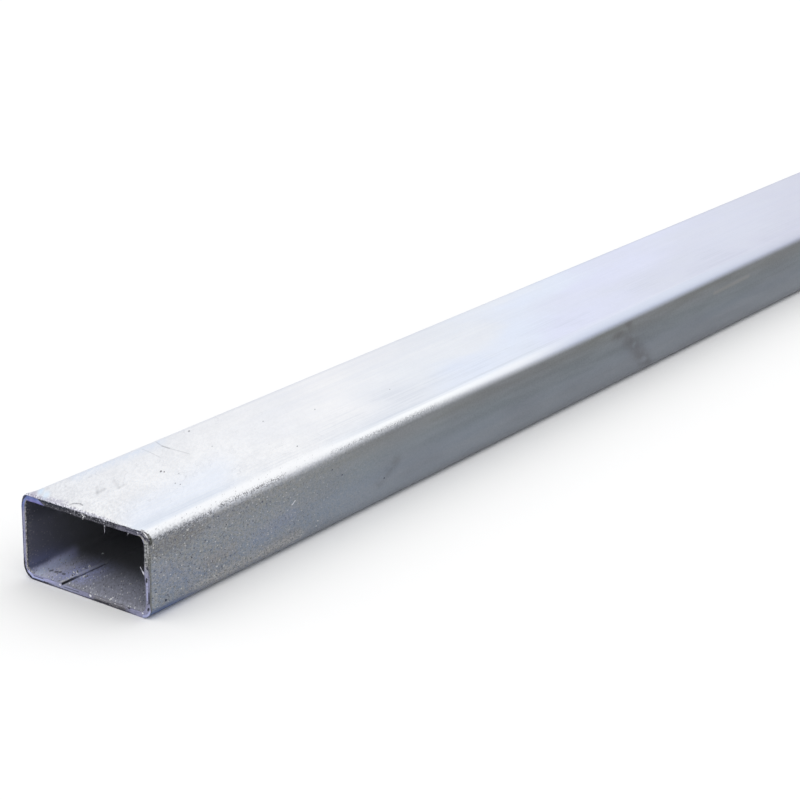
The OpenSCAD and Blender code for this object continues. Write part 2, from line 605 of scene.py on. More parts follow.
def zinc_skin():
    """Galvanised outer skin: white wide faces, narrow sides darkened as painted shade, a painted highlight
    along the upper bends, and crumbled bends near the cuts.
    """
    material, finish = new_material("zinc_skin")
    place = finish.place()
    seen = finish.seen(place)
    x, y, z = finish.axes(place)
    run = y - MOUTH_Y
    end_gap = BACK_Y - abs(y)
    near = end_gap.between(120, 15)
    behind = from_cut(x, z, end_gap)
    crumble = finish.cloud(seen, 1.7, 3.0, 0.7)
    wide = top_colour(finish, place, seen, x, run, near)
    side = side_colour(finish, place, seen, z, run, near)

    # Where the side's painted shade takes over on the bend: a ragged edge near the cuts, shifted along the
    # tube
    farther = end_gap.between(160, 110) * end_gap.between(40, 90)
    ragged = (crumble - 0.5) * (end_gap.between(90, 20) * 3.0 + farther * 1.2 + 0.3)
    lower = run.between(8, 30) * 0.5 - run.between(60, 110) * 0.4
    lower = lower + run.between(115, 175) * 0.45 - run.between(240, 330) * 0.15
    drop = HEIGHT - z - lower + ragged
    crisp = run.between(130, 210)
    drop = (drop - crisp * 0.8) * (crisp * 0.3 + 1.0)
    narrow = drop.between(0.5, 3.4) * abs(x).between(19.0, 20.8)
    # Painted highlight on the upper bends: the rolled colour is brighter near the mouth and darker farther
    # back
    rolled = finish.shaded(run, BEND_HIGHLIGHT_SHADES)
    inset = run.between(40, 8) * 0.8 + run.between(55, 100) * 1.3 - run.between(215, 290) * 1.1
    highlight_band = (abs(x) - inset).between(20.6, 22.4) * z.between(20.0, 21.5)
    wide = finish.tinted(highlight_band * 0.85, wide, rolled)
    # Painted shade: the narrow sides take the dark side colour
    finish.colour = finish.tinted(narrow, wide, side)
    grit = finish.specks(seen, 0.55, 0.22, 0.55) * crumble.between(0.42, 0.58) * end_gap.between(110, 40)
    finish.paint(grit * highlight_band * 0.4, rgb(0.10, 0.10, 0.12))
    sand = finish.cloud(seen, 3.4, 2.0, 0.6).between(0.49, 0.57)
    for start, end, width, strength, shade in SAND_ROWS:
        row = finish.scratch(seen, as_seen(*start), as_seen(*end), width)
        finish.paint(row * sand * strength, shade)

    chips = finish.cloud(seen, 2.4, 2.0, 0.6)
    crust = (behind + (chips - 0.5) * 1.8).between(1.3, 0.4) * z.between(22.0, 24.0)
    crust_colour = finish.tinted(chips.between(0.42, 0.58), rgb(0.36, 0.36, 0.42), rgb(0.80, 0.80, 0.88))
    finish.paint(crust * x.between(15.0, 5.0), crust_colour)
    stripe = top_line(finish, seen, (-17.8, 3.2), (-8.4, 3.9), 0.8)
    finish.paint(stripe * chips.between(0.35, 0.55) * 0.7, rgb(0.40, 0.38, 0.50))
    corner = x.between(21.0, 21.6) * z.between(20.6, 21.2)
    ground = behind.between(0.9, 0.6) * corner
    worn = finish.tinted(chips.between(0.42, 0.58), rgb(0.16, 0.16, 0.17), rgb(0.50, 0.50, 0.54))
    finish.paint(ground, worn)
    unrolled = finish.node("ShaderNodeCombineXYZ", {}, {"X": behind, "Y": x - z}).out("Vector")
    for (gap0, turn0), (gap1, turn1), width, strength, shade in CORNER_MARKS:
        mark = finish.scratch(unrolled, (gap0, turn0, 0.0), (gap1, turn1, 0.0), width)
        broken = mark.between(0.1, 0.6) * (sand * 0.35 + 0.65)
        finish.paint(broken * corner * strength, shade)
    for x0, y0, radius, shade in TOP_STAINS:
        stain = finish.spot(seen, as_seen(x0, y0, HEIGHT), radius, 0.9)
        finish.paint(stain * 0.60, shade)
    rim = behind.between(0.8, 0.2) * x.between(24.0, 24.4) * z.between(22.0, 16.0)
    finish.paint(rim * 0.7, rgb(0.10, 0.10, 0.07))

    drawn = finish.cloud(finish.stretched(place, (1.5, 0.012, 1.5)), 1.0, 2.0)
    relief = finish.bump(crumble * (near * 1.6 + 0.3) + drawn * 0.6, 0.008)
    finish.surface({"Metallic": 1.0, "Roughness": 0.36 + crumble * 0.1, "Normal": relief})
    return material


def bore_skin():
    """Inside of the tube: matt grey walls, and a floor painted lighter near the mouth as painted light, and
    less metallic there.
    """
    material, finish = new_material("bore_skin")
    place = finish.place()
    seen = finish.seen(place)
    x, y, z = finish.axes(place)
    end_gap = BACK_Y - abs(y)
    grain = finish.cloud(seen, 2.0, 4.0, 0.7)
    fine = grain.between(0.36, 0.64)
    depth = end_gap.between(30.0, 0.0)
    walls = finish.tinted(depth, rgb(0.275, 0.28, 0.30), rgb(0.190, 0.194, 0.252))
    # Painted shade: the walls darker high up inside the bore
    walls = finish.tinted(z.between(14.0, 19.0) * 0.5, walls, rgb(0.06, 0.065, 0.085))
    # Painted light: the floor near the mouth is painted lighter, most on the left, as if lit through the
    # mouth; it is less metallic there too
    floor_light = (end_gap + (grain - 0.5) * 6.0).between(23.0, 9.5) * z.between(3.0, 1.9)
    floor_light_colour = finish.tinted(x.between(-1.0, -9.0), rgb(0.48, 0.495, 0.60), rgb(0.61, 0.65, 0.98))
    floor_light_colour = finish.tinted(x.between(-13.0, -18.0), floor_light_colour, rgb(0.78, 0.80, 1.0))
    floor_light_colour = finish.tinted(x.between(8.0, 20.0) * 0.5, floor_light_colour, rgb(0.34, 0.35, 0.42))
    dim = end_gap.between(5.5, 2.0) * x.between(-18.0, -8.0)
    floor_light_colour = finish.tinted(dim, floor_light_colour, rgb(0.54, 0.55, 0.65))
    finish.colour = finish.tinted(floor_light, walls, floor_light_colour)
    # Painted light: a bluish glow low on the left-hand wall and along its corner with the floor, behind the
    # mouth
    wall_light = end_gap.between(22.0, 8.0) * z.between(8.0, 2.0) * x.between(-21.0, -22.5)
    finish.paint(wall_light * 0.6, rgb(0.27, 0.30, 0.52))
    glow = floor_line(finish, seen, (-21.5, 10.0), (-22.8, 18.0), 2.9)
    finish.paint(glow * 0.9, rgb(0.68, 0.70, 1.0))
    dusty = fine * floor_light * (0.50 - x.between(-9.0, -17.0) * 0.22)
    finish.paint(dusty, rgb(0.18, 0.18, 0.22))
    # Painted highlight along the bend between the floor and the left-hand wall
    corner_highlight = floor_line(finish, seen, (-20.6, 3.5), (-21.4, 15.0), 1.8)
    finish.paint(corner_highlight * (1.0 - fine * 0.45) * 0.8, rgb(0.70, 0.78, 1.0))
    pepper = finish.specks(seen, 0.6, 0.22, 0.4)
    finish.paint(pepper * (floor_light * 0.55 + 0.15), rgb(0.08, 0.08, 0.11))
    salt = finish.specks(finish.moved(seen, (4.0, 9.0, 2.0)), 0.62, 0.23, 0.32)
    finish.paint(salt * (floor_light * 0.7 + depth * 0.2), rgb(1.0, 1.0, 1.0))
    fringe = from_cut(x, z, end_gap).between(3.2, 0.6) * (grain - depth * 0.04).between(0.44, 0.56)
    finish.paint(fringe * z.between(2.0, 4.0) * 0.5, rgb(0.42, 0.42, 0.41))
    for start, end in FLOOR_MARKS:
        mark = floor_line(finish, seen, start, end, 0.36)
        finish.paint(mark * 0.85, rgb(0.03, 0.03, 0.06))
    offset = x - SEAM_X
    # Painted highlight: white on the weld bead where the floor is painted lit
    bead = offset.between(-2.2, -1.2) * offset.between(-0.2, -0.6) * z.between(4.0, 3.0)
    finish.paint(bead * floor_light * fine * 0.7, rgb(0.95, 0.95, 1.0))
    # Painted shade: the weld groove near the mouth is painted nearly black, fading out farther in
    thin = end_gap.between(5.0, 9.0) * 0.24
    gap = (abs(offset) + thin).between(0.68, 0.40) * end_gap.between(19.5, 16.5) * z.between(2.4, 2.0)
    gap = gap * (end_gap.between(4.0, 8.0) * -0.20 + 0.93)
    finish.paint(gap, rgb(0.012, 0.012, 0.018))
    dribble = floor_line(finish, seen, (-10.1, 18.8), (-11.0, 21.8), 0.34)
    finish.paint(dribble * 0.5, rgb(0.85, 0.80, 0.78))
    relief = finish.bump(grain, 0.05)
    finish.surface({"Metallic": 0.75 - floor_light * 0.7, "Roughness": 0.6, "Normal": relief})
    return material


# Marks on the saw cut: start and end as (x, z), width, strength, shade
CUT_MARKS = (
    ((-17.4, 24.35), (-7.0, 24.15), 0.62, 0.90, SLATE),
    ((-2.1, 24.2), (-1.6, 24.2), 0.55, 1.00, BLACK),
    ((-1.2, 24.3), (-0.6, 23.9), 0.36, 1.00, WHITE),
    ((0.0, 23.7), (-0.4, 23.1), 0.34, 0.90, WHITE),
    ((13.6, 24.50), (21.2, 24.35), 0.30, 0.80, BLACK),
    ((15.8, 23.9), (19.6, 23.8), 0.22, 0.75, SLATE),
    ((21.5, 23.7), (22.3, 23.4), 0.28, 0.90, BLACK),
    ((22.3, 23.4), (23.1, 22.75), 0.28, 0.90, BLACK),
    ((20.8, 23.1), (22.0, 22.8), 0.45, 0.60, BEIGE),
    ((22.0, 22.8), (22.9, 22.0), 0.45, 0.60, BEIGE),
    ((23.9, 21.2), (24.0, 19.0), 0.24, 0.30, WHITE),
    ((24.1, 18.0), (24.1, 5.0), 0.26, 0.60, OLIVE),
    ((23.6, 14.8), (23.6, 14.4), 0.45, 0.85, BLACK),
    ((23.3, 11.5), (23.2, 10.8), 0.55, 0.95, BLACK),
    ((24.0, 7.6), (24.0, 4.8), 0.50, 0.80, BLACK),
    ((23.4, 10.2), (23.4, 5.6), 0.40, 0.55, LILAC),
    ((24.3, 2.4), (23.4, 1.2), 0.60, 0.80, LILAC),
    ((23.4, 1.2), (21.8, 0.55), 0.60, 0.80, LILAC),
    ((23.8, 3.2), (23.5, 2.7), 0.50, 0.90, BLACK),
    ((21.6, 1.36), (21.4, 1.36), 0.36, 0.90, WHITE),
    ((16.6, 1.5), (16.1, 1.5), 0.42, 0.80, BLACK),
    ((8.6, 0.55), (3.2, 0.50), 0.34, 0.70, BLACK),
    ((1.3, 1.15), (1.6, 1.15), 0.52, 1.00, WHITE),
    ((-3.0, 1.05), (-9.0, 1.00), 0.22, 0.60, SLATE),
    ((-10.7, 1.2), (-10.3, 1.2), 0.36, 0.80, WHITE),
    ((-17.3, 0.80), (-21.5, 0.85), 0.50, 0.65, GLARE),
    ((-21.5, 0.85), (-23.0, 2.10), 0.50, 0.65, GLARE),
    ((-17.3, 1.25), (-21.0, 1.25), 0.26, 0.70, SLATE),
    ((-24.8, 21.9), (-24.3, 23.1), 0.40, 0.80, SLATE),
    ((-24.3, 23.1), (-23.1, 24.3), 0.40, 0.80, SLATE),
)


def saw_cut():
    """Sawn steel: grey with a lavender tint that is painted reflection, crushed and dark on the upper wall,
    stained blue at its left corner.
    """
    material, finish = new_material("saw_cut")
    place = finish.place()
    seen = finish.seen(place)
    face = finish.stretched(place, (1.0, 0.0, 1.0))
    x, _, z = finish.axes(place)
    grit = finish.cloud(seen, 2.0, 4.0, 0.7)
    lumps = finish.cloud(seen, 0.6, 3.0)
    depth = finish.wall_depth(x, z) + (grit - 0.5) * 0.7
    upper = z.between(HEIGHT - 3.0, HEIGHT - 2.2)
    low = z.between(2.6, 2.2)
    left = x.between(-22.6, -23.0)
    right = x.between(22.3, 22.8)

    # Painted reflection: the cut's lavender tint stands for the bluish light it mirrors; the steel itself
    # is grey
    pale = finish.tinted(lumps.between(0.38, 0.62), rgb(0.25, 0.255, 0.37), rgb(0.32, 0.32, 0.46))
    finish.colour = finish.tinted(grit.between(0.36, 0.64) * 0.5, pale, rgb(0.46, 0.46, 0.60))

    lit = low * x.between(-2.0, -7.0)
    finish.paint(lit * 0.70, rgb(0.42, 0.44, 0.58))
    lit = low * x.between(-10.0, -15.0) * depth.between(0.6, 0.9)
    finish.paint(lit * 0.7, rgb(0.50, 0.51, 0.78))
    foot = low * x.between(0.0, 4.0) * x.between(17.5, 14.0)
    brown = finish.tinted(depth.between(0.7, 1.3), rgb(0.12, 0.115, 0.13), rgb(0.27, 0.27, 0.31))
    brown = finish.tinted(grit.between(0.4, 0.64) * 0.6, brown, rgb(0.34, 0.33, 0.35))
    finish.paint(foot, brown)

    mottled = finish.tinted(grit.between(0.42, 0.58), rgb(0.10, 0.105, 0.11), rgb(0.44, 0.44, 0.44))
    finish.paint(right * z.between(12.0, 16.0), mottled)

    crushed = finish.tinted(grit.between(0.46, 0.62), rgb(0.022, 0.022, 0.032), rgb(0.16, 0.16, 0.185))
    # Painted highlight: a slightly lighter band along the cut's inner edge
    edge = depth.between(1.4, 1.6) * depth.between(2.3, 1.9)
    crushed = finish.tinted(edge * 0.10, crushed, rgb(0.24, 0.24, 0.27))
    slanted = finish.node("ShaderNodeCombineXYZ", {}, {"X": x + z * 1.4, "Z": z * 0.35}).out("Vector")
    strokes = finish.cloud(slanted, 1.5, 2.0).between(0.46, 0.56)
    torn = x.between(-5.0, -2.0) * x.between(13.0, 10.0)
    crust = (depth - torn * strokes * 0.40).between(0.55, 0.2)
    crushed = finish.tinted(crust * (0.75 + torn * 0.15), crushed, rgb(0.42, 0.42, 0.48))
    shoulder = x.between(10.5, 14.5) * depth.between(0.4, 0.8)
    crushed = finish.tinted(shoulder * 0.50, crushed, rgb(0.23, 0.225, 0.30))
    chips = finish.specks(seen, 0.62, 0.30, 0.16)
    crushed = finish.tinted(chips * x.between(-4.0, -1.0), crushed, rgb(0.75, 0.75, 0.80))
    torn_x = x - depth * 1.8 + (grit - 0.5) * 3.0
    finish.paint(upper * torn_x.between(-20.2, -19.0), crushed)
    blue = finish.tinted(lumps.between(0.4, 0.6), rgb(0.15, 0.19, 0.42), rgb(0.25, 0.29, 0.54))
    blue = finish.tinted(depth.between(1.1, 1.5) * z.between(22.0, 23.0) * 0.5, blue, rgb(0.26, 0.22, 0.50))
    finish.paint(z.between(18.5, 22.0) * torn_x.between(-19.0, -20.2), blue)

    finish.paint(left * 0.12, rgb(0.06, 0.07, 0.16))
    left_edge = left * depth.between(0.50, 0.25)
    finish.paint(left_edge * 0.75, rgb(0.05, 0.06, 0.16))
    toothed = finish.tinted(grit.between(0.44, 0.56), rgb(0.05, 0.05, 0.06), rgb(0.38, 0.37, 0.35))
    finish.paint(left * depth.between(1.05, 1.25), toothed)
    teeth = finish.specks(seen, 0.62, 0.27, 0.34) * left * depth.between(1.05, 1.25) * z.between(19.0, 15.0)
    finish.paint(teeth, rgb(0.72, 0.70, 0.66))
    heel = x.between(-12.0, -17.0) * z.between(7.0, 4.0) * depth.between(0.78, 0.55)
    finish.paint(heel, rgb(0.012, 0.012, 0.025))
    foot_edge = depth.between(0.50, 0.30) * z.between(2.2, 0.8) * x.between(20.0, 16.0)
    finish.paint(foot_edge * 0.8, rgb(0.06, 0.06, 0.09))
    for (x0, z0), (x1, z1), width, strength, shade in CUT_MARKS:
        mark = finish.scratch(face, (x0, 0.0, z0), (x1, 0.0, z1), width)
        finish.paint(mark.between(0.1, 0.6) * strength, shade)

    relief = finish.bump(grit + lumps * 0.5, 0.08)
    finish.surface({"Metallic": 0.85, "Roughness": 0.5, "Normal": relief})
    return material


def torn_zinc():
    """Crumbs, slivers and droplets: any grey from nearly black to bright, brightest on the floor, where
    part of the brightness is painted light.
    """
    material, finish = new_material("torn_zinc")
    place = finish.place()
    z = finish.axes(place)[2]
    shade = finish.cloud(place, 1.1, 2.0).between(0.36, 0.64)
    finish.colour = finish.tinted(shade, rgb(0.05, 0.05, 0.065), rgb(0.62, 0.62, 0.68))
    # On the bore's floor the crumbs run from dark to white; the white is partly painted light, making up
    # for the shade there
    bright = finish.cloud(place, 1.7, 1.0).between(0.42, 0.50)
    lit_floor_crumbs = finish.tinted(bright, rgb(0.04, 0.04, 0.06), rgb(1.0, 1.0, 1.0))
    finish.paint(z.between(3.2, 2.2), lit_floor_crumbs)
    metal = z.between(2.2, 3.2) * 0.7
    finish.surface({"Metallic": metal, "Roughness": 0.45})
    return material


class Sheet:
    """Collects the vertices and faces of the tube, in millimetres."""

    def __init__(self):
        self.points = []
        self.faces = []
        self.kinds = []

    def row(self, points):
        """Adds points and returns their numbers."""
        first = len(self.points)
        self.points.extend(points)
        return list(range(first, len(self.points)))

    def face(self, corners, kind):
        self.faces.append(corners)
        self.kinds.append(kind)

    def strip(self, first, second, kind):
        """Joins two closed rows of equal count."""
        for i in range(len(first)):
            k = (i + 1) % len(first)
            self.face((first[i], first[k], second[k], second[i]), kind)

    def widening(self, coarse, fine, kind, flip):
        """Joins a closed row to one with FINE times as many points."""
        for i in range(len(coarse)):
            k = (i + 1) % len(coarse)
            reach = [fine[(i * FINE + j) % len(fine)] for j in range(FINE + 1)]
            corners = [coarse[k], coarse[i], *reach]
            self.face(corners[::-1] if flip else corners, kind)

    def mesh(self, name):
        made = bpy.data.meshes.new(name)
        made.from_pydata([point * MM for point in self.points], [], self.faces)
        made.polygons.foreach_set("material_index", self.kinds)
        made.polygons.foreach_set("use_smooth", [kind != CRUMB for kind in self.kinds])
        made.update()
        return made


def flat_shares(length, seam_at):
    """Shares of a flat's length at which it has a point, closer together over the weld seam."""
    count = round(length / FLAT_STEP)
    marks = [k / count for k in range(count)]
    if seam_at is not None:
        first, last = seam_at - BEAD - SEAM_MARGIN, seam_at + GROOVE / 2 + SEAM_MARGIN
        low, high = first - SEAM_CLEARANCE, last + SEAM_CLEARANCE
        marks = [mark for mark in marks if not low < mark * length < high]
        steps = round((last - first) / SEAM_STEP)
        marks += [(first + k * SEAM_STEP) / length for k in range(steps + 1)]
    return sorted(marks)


def stations():
    """Points round the outer skin, each with the direction into the wall, from the lower left bend on."""
    right, left = FLAT_HALF, -FLAT_HALF
    low, high = CORNER, HEIGHT - CORNER
    centres = [Vector((right, low)), Vector((right, high)), Vector((left, high)), Vector((left, low))]
    found = []
    for turn, centre in enumerate(centres):
        angle = math.pi / 2 * (turn - 1)
        out = Vector((math.cos(angle), math.sin(angle)))
        start, end = centres[turn - 1] + out * CORNER, centre + out * CORNER
        seam_at = SEAM_X - start.x if turn == 0 else None
        for share in flat_shares((end - start).length, seam_at):
            found.append((start.lerp(end, share), -out))
        for k in range(BEND_STEPS):
            turned = angle + math.pi / 2 * k / BEND_STEPS
            ray = Vector((math.cos(turned), math.sin(turned)))
            found.append((centre + ray * CORNER, -ray))
    return found


def refined(coarse):
    """The same outline with each step cut into FINE parts."""
    found = []
    for i, (point, inward) in enumerate(coarse):
        next_point, next_inward = coarse[(i + 1) % len(coarse)]
        for k in range(FINE):
            share = k / FINE
            found.append((point.lerp(next_point, share), inward.lerp(next_inward, share).normalized()))
    return found


def ripple(x, y, z, size, seed=0.0):
    """Smooth noise from -1 to 1 whose waves measure about size."""
    return noise.noise(Vector((x / size + seed, y / size, z / size)))


def wall_shares(inward):
    """How far a point belongs to the upper, right-hand, left-hand and lower wall."""
    return max(0.0, -inward.y), max(0.0, -inward.x), max(0.0, inward.x), max(0.0, inward.y)


def dish(point, inward):
    """Slight hollow of the flat faces between their bends."""
    wide = max(0.0, 1 - (point.x / FLAT_HALF) ** 2) * abs(inward.y)
    narrow = max(0.0, 1 - ((point.y - HEIGHT / 2) / SIDE_HALF) ** 2) * abs(inward.x)
    return DISH_WIDE * wide + DISH_NARROW * narrow


def waviness(point, y):
    """Long shallow waves that rolling leaves, as a depth below the skin."""
    return WAVE_DEPTH * (1 + ripple(point.x * 2, y * 0.4, point.y * 2, WAVE_SIZE))


def seam_relief(x, y):
    """Height of the weld bead over the bore's floor, or depth of its groove as a negative height."""
    offset = x - SEAM_X
    if abs(offset) < GROOVE / 2:
        filled = min(1.0, max(0.0, min(y - MOUTH_Y, BACK_Y - y) - GROOVE_CLEAR) / GROOVE_FADE)
        return -math.sqrt((GROOVE / 2) ** 2 - offset**2) * (1 - GROOVE_FILL * filled)
    across = (offset + BEAD / 2) / (BEAD / 2)
    lumps = 0.75 + 0.5 * ripple(x, y, 0, 1.8, 5.0)
    return max(0.0, 1 - across**2) * BEAD_RISE * min(1.0, lumps)


def skin_depth(point, inward, y):
    """Depth of the outer skin under the nominal one; the waves start behind each end."""
    if inward.y > 0.5:
        return dish(point, inward)
    fade = min(1.0, abs(y - MOUTH_Y) / NEAR_LENGTH, abs(BACK_Y - y) / NEAR_LENGTH)
    return dish(point, inward) + waviness(point, y) * fade


def bore_depth(point, inward, y):
    """Depth of the bore's surface under the outer skin, with the weld seam on its floor."""
    rise = seam_relief(point.x, y) if inward.y > 0.99 else 0.0
    return WALL + dish(point, inward) + rise


def placed(point, inward, depth, y):
    """The point at that depth below the skin and at that place along the tube."""
    spot = point + inward * depth
    return Vector((spot.x, y, spot.y))


def cut_setback(x, z):
    """Distance of the slanting cut from the end of the stock."""
    return CUT_BACK + x * CUT_LEAN_X + (z - HEIGHT / 2) * CUT_LEAN_Z


class SawnEnd:
    """One end of the tube: a slanting cut with a rolled rim outside and torn burrs inside."""

    def __init__(self, plane_y, inwards, seed):
        self.plane_y = plane_y
        self.inwards = inwards
        self.seed = seed

    def y_at(self, x, z, offset, roughness=0.0):
        """Place along the tube at that offset behind the cut; the slant fades out over the zone."""
        share = offset / END_ZONE
        back = (cut_setback(x, z) + roughness) * (1 - share) + END_ZONE * share
        return self.plane_y + self.inwards * back

    def rim_roll(self, point, inward, offset):
        """How far the saw has pressed the outer rim in, at that offset behind the cut."""
        top, right, left, low = wall_shares(inward)
        base = ROLL_TOP * top + ROLL_RIGHT * right**2 * (1 - low) ** 2 + ROLL_LEFT * left + ROLL_LOW * low
        long_waves = ripple(point.x, 0, point.y, 3.0, self.seed)
        short_waves = ripple(point.x, offset, point.y, 0.6, self.seed + 4)
        crumbled = 0.16 * top * short_waves * math.exp(-offset / ROLL_REACH)
        rolled = base * (1 + 0.25 * long_waves) * math.exp(-((offset / ROLL_REACH) ** 1.3))
        return rolled + max(0.0, crumbled)

    def burr(self, point, inward, run, offset):
        """How far the torn inner edge stands into the bore, at that run round the outline."""
        top, right, left, low = wall_shares(inward)
        thick = SWELL_RIGHT + SWELL_HIGH * min(1.0, max(0.0, point.y - 9.0) / 4.0)
        swell = (SWELL_TOP * top + thick * right) * math.exp(-((offset / SWELL_REACH) ** 2))
        base = TEETH_TOP * top + TEETH_LOW * low + TEETH_RIGHT * right + TEETH_LEFT * left
        tooth = abs(run / TEETH_PITCH % 1.0 - 0.5) * 2
        torn = 0.5 + 0.5 * ripple(point.x, 0, point.y, 0.5, self.seed + 9)
        patchy = 0.6 + 0.6 * ripple(point.x, 0, point.y, 4.0, self.seed + 20)
        ragged = max(0.05, patchy) * (0.3 + 0.8 * tooth * torn) * math.exp(-((offset / TEETH_REACH) ** 2))
        return swell + base * ragged

    def tightness(self, inward, offset):
        """How far the upper left bend is squared out next to the cut."""
        across = max(0.0, inward.x) * max(0.0, -inward.y)
        return 0.6 * (2 * across) ** 3 * math.exp(-((offset / 4.0) ** 2))

    def torn(self, spot):
        """Roughness of the cut's edges: always back from the plane of the cut."""
        upper = 1.0 if spot.y > HEIGHT - 3 else 0.4
        waves = ripple(spot.x, 0, spot.y, 0.55, self.seed + 30)
        short_waves = ripple(spot.x, 0, spot.y, 0.25, self.seed + 40)
        return upper * (0.14 * (1 + waves) + 0.10 * (1 + short_waves))


def end_rows(sheet, end, outline):
    """Skin, cut and bore of one end zone. Returns the two rows where the body takes over."""
    runs = [0.0]
    for (before, _), (after, _) in zip(outline, outline[1:]):
        runs.append(runs[-1] + (after - before).length)

    def ring(offset, depth_of):
        points = []
        for (point, inward), run in zip(outline, runs):
            spot = point + inward * depth_of(point, inward, run, offset)
            rough = end.torn(spot) if offset == 0 else 0.0
            points.append(Vector((spot.x, end.y_at(spot.x, spot.y, offset, rough), spot.y)))
        return sheet.row(points)

    def skin_at(point, inward, run, offset):
        return dish(point, inward) + end.rim_roll(point, inward, offset) - end.tightness(inward, offset)

    def bore_at(point, inward, run, offset):
        depth = bore_depth(point, inward, end.plane_y + end.inwards * offset)
        return depth + end.burr(point, inward, run, offset) - end.tightness(inward, offset)

    offsets = (*END_OFFSETS, END_ZONE)
    skin = [ring(offset, skin_at) for offset in offsets]
    bore = [ring(offset, bore_at) for offset in offsets]
    cut = [skin[0]]
    for step in range(1, CUT_STEPS):
        points = []
        for outer, inner in zip(skin[0], bore[0]):
            spot = sheet.points[outer].lerp(sheet.points[inner], step / CUT_STEPS)
            rough = 0.12 * (1 + ripple(spot.x, 0, spot.z, 0.45, end.seed + 50))
            spot.y = end.y_at(spot.x, spot.z, 0.0, rough)
            points.append(spot)
        cut.append(sheet.row(points))
    cut.append(bore[0])

    front = end.inwards > 0
    torn_rows, clean_rows = bore[: TORN_STEPS + 1], bore[TORN_STEPS:]
    for rows, kind, outside in (
        (skin, SKIN, front),
        (torn_rows, CUT, not front),
        (clean_rows, BORE, not front),
        (cut, CUT, not front),
    ):
        for first, second in zip(rows, rows[1:]):
            sheet.strip(*((first, second) if outside else (second, first)), kind)
    return skin[-1], bore[-1]


def body_places():
    """Places along the tube of the body's rings, closer together near both ends."""
    first, last = MOUTH_Y + END_ZONE, BACK_Y - END_ZONE
    near = [first + NEAR_LENGTH * (k / NEAR_RINGS) ** 1.4 for k in range(1, NEAR_RINGS + 1)]
    far = [first + last - y for y in reversed(near)]
    step = (far[0] - near[-1]) / MIDDLE_RINGS
    return near + [near[-1] + step * k for k in range(1, MIDDLE_RINGS)] + far


def add_body(sheet, coarse, front_rows, back_rows):
    """The run of the tube between its two end zones."""
    for depth_of, kind, front, back in (
        (skin_depth, SKIN, front_rows[0], back_rows[0]),
        (bore_depth, BORE, front_rows[1], back_rows[1]),
    ):
        rows = []
        for y in body_places():
            points = [placed(point, inward, depth_of(point, inward, y), y) for point, inward in coarse]
            rows.append(sheet.row(points))
        outside = kind == SKIN
        for first, second in zip(rows, rows[1:]):
            sheet.strip(*((first, second) if outside else (second, first)), kind)
        sheet.widening(rows[0], front, kind, flip=not outside)
        sheet.widening(rows[-1], back, kind, flip=outside)


def add_sliver(sheet, root, middle, tip, width):
    """A thin torn strip that tapers and twists from its root to its tip."""
    rings, sides = 9, 6
    rows = []
    for k in range(rings):
        share = k / (rings - 1)
        centre = root * (1 - share) ** 2 + middle * 2 * share * (1 - share) + tip * share**2
        along = ((middle - root) * (1 - share) + (tip - middle) * share).normalized()
        across = along.cross(Vector((0, 1, 0))).normalized()
        flat = along.cross(across)
        half = width / 2 * (1 - 0.75 * share**1.5) * (1 + 0.25 * ripple(centre.x, centre.y, centre.z, 0.5))
        points = []
        for j in range(sides):
            angle = 2 * math.pi * j / sides + share * 1.2
            points.append(centre + across * half * math.cos(angle) + flat * half * 0.5 * math.sin(angle))
        rows.append(sheet.row(points))
    for first, second in zip(rows, rows[1:]):
        sheet.strip(first, second, CRUMB)
    sheet.face(rows[0][::-1], CRUMB)
    sheet.face(rows[-1], CRUMB)


def add_droplet(sheet, x, y, z, radius):
    """A low dome of zinc stuck to the wall."""
    rings, sides = 5, 8
    rows = []
    for k in range(1, rings):
        lift = math.pi * k / rings
        points = []
        for j in range(sides):
            angle = 2 * math.pi * j / sides
            flat = math.sin(lift)
            ray = Vector((math.cos(angle) * flat, 1.5 * math.sin(angle) * flat, 0.8 * math.cos(lift)))
            points.append(Vector((x, y, z)) + ray * radius)
        rows.append(sheet.row(points))
    for first, second in zip(rows, rows[1:]):
        sheet.strip(second, first, CRUMB)
    sheet.face(rows[0], CRUMB)
    sheet.face(rows[-1][::-1], CRUMB)


def kept_inside(point):
    """The nearest point to it within the stock's box."""
    return Vector([min(max(at, low), high) for at, low, high in zip(point, LOW, HIGH)])


def add_crumb(sheet, centre, size, draw):
    """A torn grain of metal: an octahedron with uneven corners."""
    corners = []
    for ray in ((1, 0, 0), (0, 1, 0), (-1, 0, 0), (0, -1, 0), (0, 0, 1), (0, 0, -1)):
        corners.append(centre + Vector(ray) * size * draw.uniform(0.45, 1.0))
    rows = sheet.row([kept_inside(corner) for corner in corners])
    for k in range(4):
        a, b = rows[k], rows[(k + 1) % 4]
        sheet.face((a, b, rows[4]), CRUMB)
        sheet.face((b, a, rows[5]), CRUMB)


# Where crumbs cling to a rim: first and last x, first and last z, depth in the wall, count and
# largest size. A run with a single x lies on a side wall
CRUMB_RUNS = (
    ((-17.0, 21.0), (25.0, 25.0), 0.55, 90, 0.24),
    ((-16.0, 21.0), (25.0, 25.0), 1.60, 60, 0.24),
    ((-4.0, 13.0), (25.0, 25.0), 0.80, 55, 0.40),
    ((21.5, 24.4), (25.0, 23.0), 0.50, 26, 0.34),
    ((25.0, 25.0), (4.0, 21.0), 1.55, 40, 0.24),
    ((25.0, 25.0), (4.0, 21.0), 0.30, 24, 0.16),
    ((-25.0, -25.0), (5.0, 22.0), 1.60, 70, 0.26),
    ((-23.4, -21.6), (3.4, 1.8), 0.10, 14, 0.50),
    ((3.0, 16.0), (0.0, 0.0), 1.40, 30, 0.20),
)


